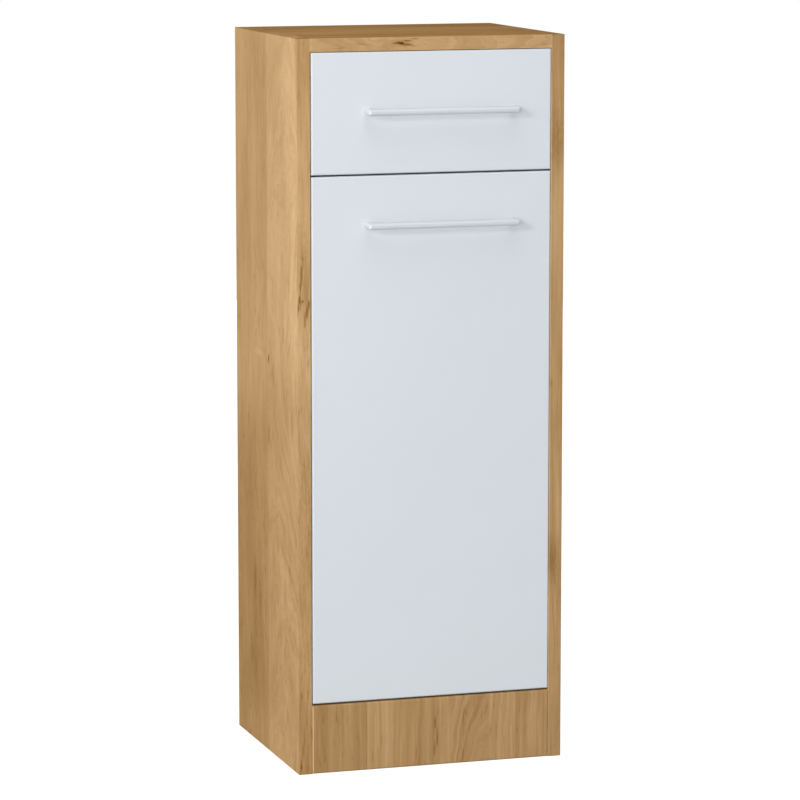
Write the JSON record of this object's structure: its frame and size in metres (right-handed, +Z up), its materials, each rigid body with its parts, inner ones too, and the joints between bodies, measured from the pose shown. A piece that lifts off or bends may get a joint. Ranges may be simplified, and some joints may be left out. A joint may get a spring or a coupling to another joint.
{
  "type": "low bathroom cabinet",
  "caption": "Low, narrow bathroom cabinet in oak board with a white drawer above a white hinged door, bow handles and a plinth.",
  "frame": {"origin": "centre of the bounding box at floor level", "axes": "+Z up, -Y towards the front with the drawer and door, +X to the right seen from the front"},
  "size_m": [0.332, 0.297, 0.88],
  "materials": {
    "oak_board": "matt oak-pattern laminate",
    "hardboard": "plain hardboard",
    "white_hardboard": "white lacquered hardboard",
    "white_front": "smooth satin white film",
    "white_board": "matt white laminate",
    "handle_metal": "satin light grey",
    "runner_paint": "white powder coat",
    "roller_plastic": "smooth nylon",
    "bumper_plastic": "soft clear plastic",
    "dowel_wood": "plain beech",
    "hinge_steel": "nickel-plated steel",
    "zinc_steel": "zinc-plated steel"
  },
  "bodies": {
    "cabinet": {"left_side_panel": "oak_board", "right_side_panel": "oak_board", "top_panel": "oak_board", "divider_panel": "oak_board", "bottom_panel": "oak_board", "adjustable_shelf": "oak_board", "back_panel": "hardboard", "back_panel_screws": "zinc_steel", "plinth_board": "oak_board", "plinth_brackets": "zinc_steel", "plinth_bracket_screws": "zinc_steel", "cam_locks": "zinc_steel", "cam_bolts": "zinc_steel", "panel_dowels": "dowel_wood", "shelf_pins": "zinc_steel", "left_body_runner": "runner_paint", "right_body_runner": "runner_paint", "body_runner_screws": "zinc_steel", "body_roller_axles": "zinc_steel", "lower_hinge_arm": "hinge_steel", "upper_hinge_arm": "hinge_steel", "hinge_arm_screws": "zinc_steel", "lower_hinge_plate": "hinge_steel", "upper_hinge_plate": "hinge_steel", "hinge_plate_screws": "zinc_steel"},
    "drawer": {"drawer_front": "white_front", "left_drawer_side": "white_board", "right_drawer_side": "white_board", "drawer_back": "white_board", "drawer_bottom": "white_hardboard", "drawer_cams": "zinc_steel", "drawer_cam_bolts": "zinc_steel", "drawer_back_screws": "zinc_steel", "drawer_handle": "handle_metal", "drawer_handle_screws": "zinc_steel", "left_drawer_runner": "runner_paint", "right_drawer_runner": "runner_paint", "drawer_runner_screws": "zinc_steel", "drawer_roller_axles": "zinc_steel"},
    "left_body_roller": {"left_body_roller": "roller_plastic"},
    "right_body_roller": {"right_body_roller": "roller_plastic"},
    "left_drawer_roller": {"left_drawer_roller": "roller_plastic"},
    "right_drawer_roller": {"right_drawer_roller": "roller_plastic"},
    "door": {"door_panel": "white_front", "door_handle": "handle_metal", "door_handle_screws": "zinc_steel", "door_bumpers": "bumper_plastic", "lower_hinge_cup": "hinge_steel", "upper_hinge_cup": "hinge_steel", "hinge_cup_screws": "zinc_steel", "hinge_pins": "zinc_steel"}
  },
  "joints": [
    {"name": "drawer_slide", "type": "slide", "parent": "cabinet", "child": "drawer", "axis": [0, -1, 0], "range_m": [0, 0.17]},
    {"name": "door_hinge", "type": "hinge", "parent": "cabinet", "child": "door", "pos_m": [-0.131, -0.1187, 0.40145], "axis": [0, 0, -1], "range_deg": [0, 95]},
    {"name": "left_body_roller_spin", "type": "hinge", "parent": "cabinet", "child": "left_body_roller", "pos_m": [-0.1448, -0.0965, 0.7376], "axis": [1, 0, 0], "range_deg": [0, 1150]},
    {"name": "right_body_roller_spin", "type": "hinge", "parent": "cabinet", "child": "right_body_roller", "pos_m": [0.1448, -0.0965, 0.7376], "axis": [1, 0, 0], "range_deg": [0, 1150]},
    {"name": "left_drawer_roller_spin", "type": "hinge", "parent": "drawer", "child": "left_drawer_roller", "pos_m": [-0.1424, 0.1055, 0.7374], "axis": [1, 0, 0], "range_deg": [0, 1150]},
    {"name": "right_drawer_roller_spin", "type": "hinge", "parent": "drawer", "child": "right_drawer_roller", "pos_m": [0.1424, 0.1055, 0.7374], "axis": [1, 0, 0], "range_deg": [0, 1150]}
  ],
  "couplings": [
    {"joint": "left_body_roller_spin", "follows": "drawer_slide", "rad_per_m": 117.65},
    {"joint": "right_body_roller_spin", "follows": "drawer_slide", "rad_per_m": 117.65},
    {"joint": "left_drawer_roller_spin", "follows": "drawer_slide", "rad_per_m": 117.65},
    {"joint": "right_drawer_roller_spin", "follows": "drawer_slide", "rad_per_m": 117.65}
  ]
}
